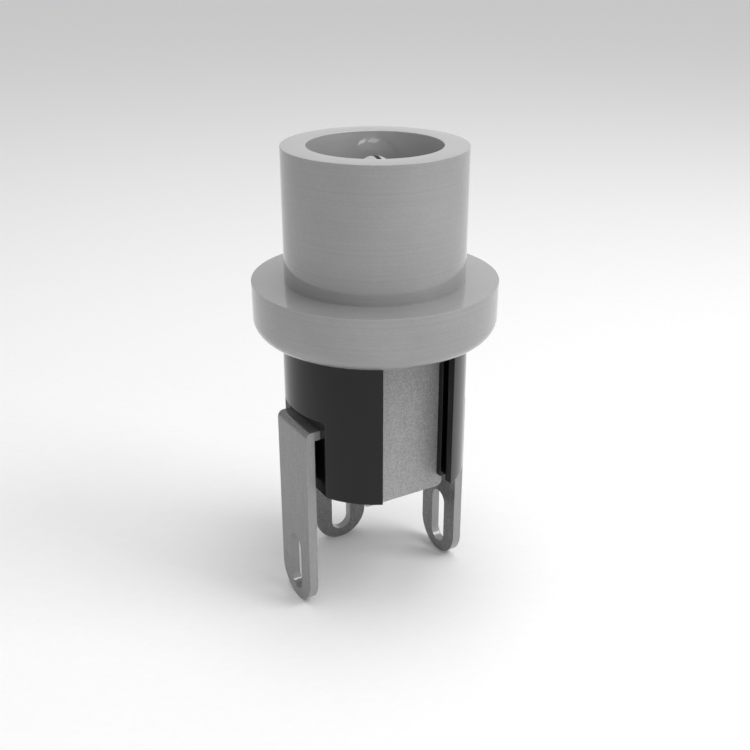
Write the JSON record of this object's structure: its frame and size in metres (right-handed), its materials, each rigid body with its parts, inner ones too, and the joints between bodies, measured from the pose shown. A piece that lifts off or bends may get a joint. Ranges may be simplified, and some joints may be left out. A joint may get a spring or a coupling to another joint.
{
  "type": "dc barrel jack",
  "caption": "Panel-mount dc barrel jack: plated metal barrel with a seating flange, split centre pin, black moulded body behind it and solder lugs with slotted eyes.",
  "frame": {"origin": "centre of the flange's top face, which seats on the back of the panel", "axes": "+Z along the barrel's axis out of the mouth; -Y towards the body's front recess with its contact plate; +X and -X towards the two side lugs, +Y towards the lug of the centre pin"},
  "size_m": [0.011, 0.011, 0.0213],
  "materials": {
    "nickel_plate": "satin nickel plate over turned brass",
    "black_moulding": "gloss black moulding",
    "tinned_strip": "dull tin plate over stamped strip",
    "bright_pin": "bright nickel plate"
  },
  "bodies": {
    "root": {"shell": "nickel_plate", "body": "black_moulding", "contact_plate": "tinned_strip", "sleeve_terminal": "tinned_strip", "shunt_terminal": "tinned_strip", "pin_terminal": "tinned_strip", "centre_pin": "bright_pin"}
  },
  "joints": []
}
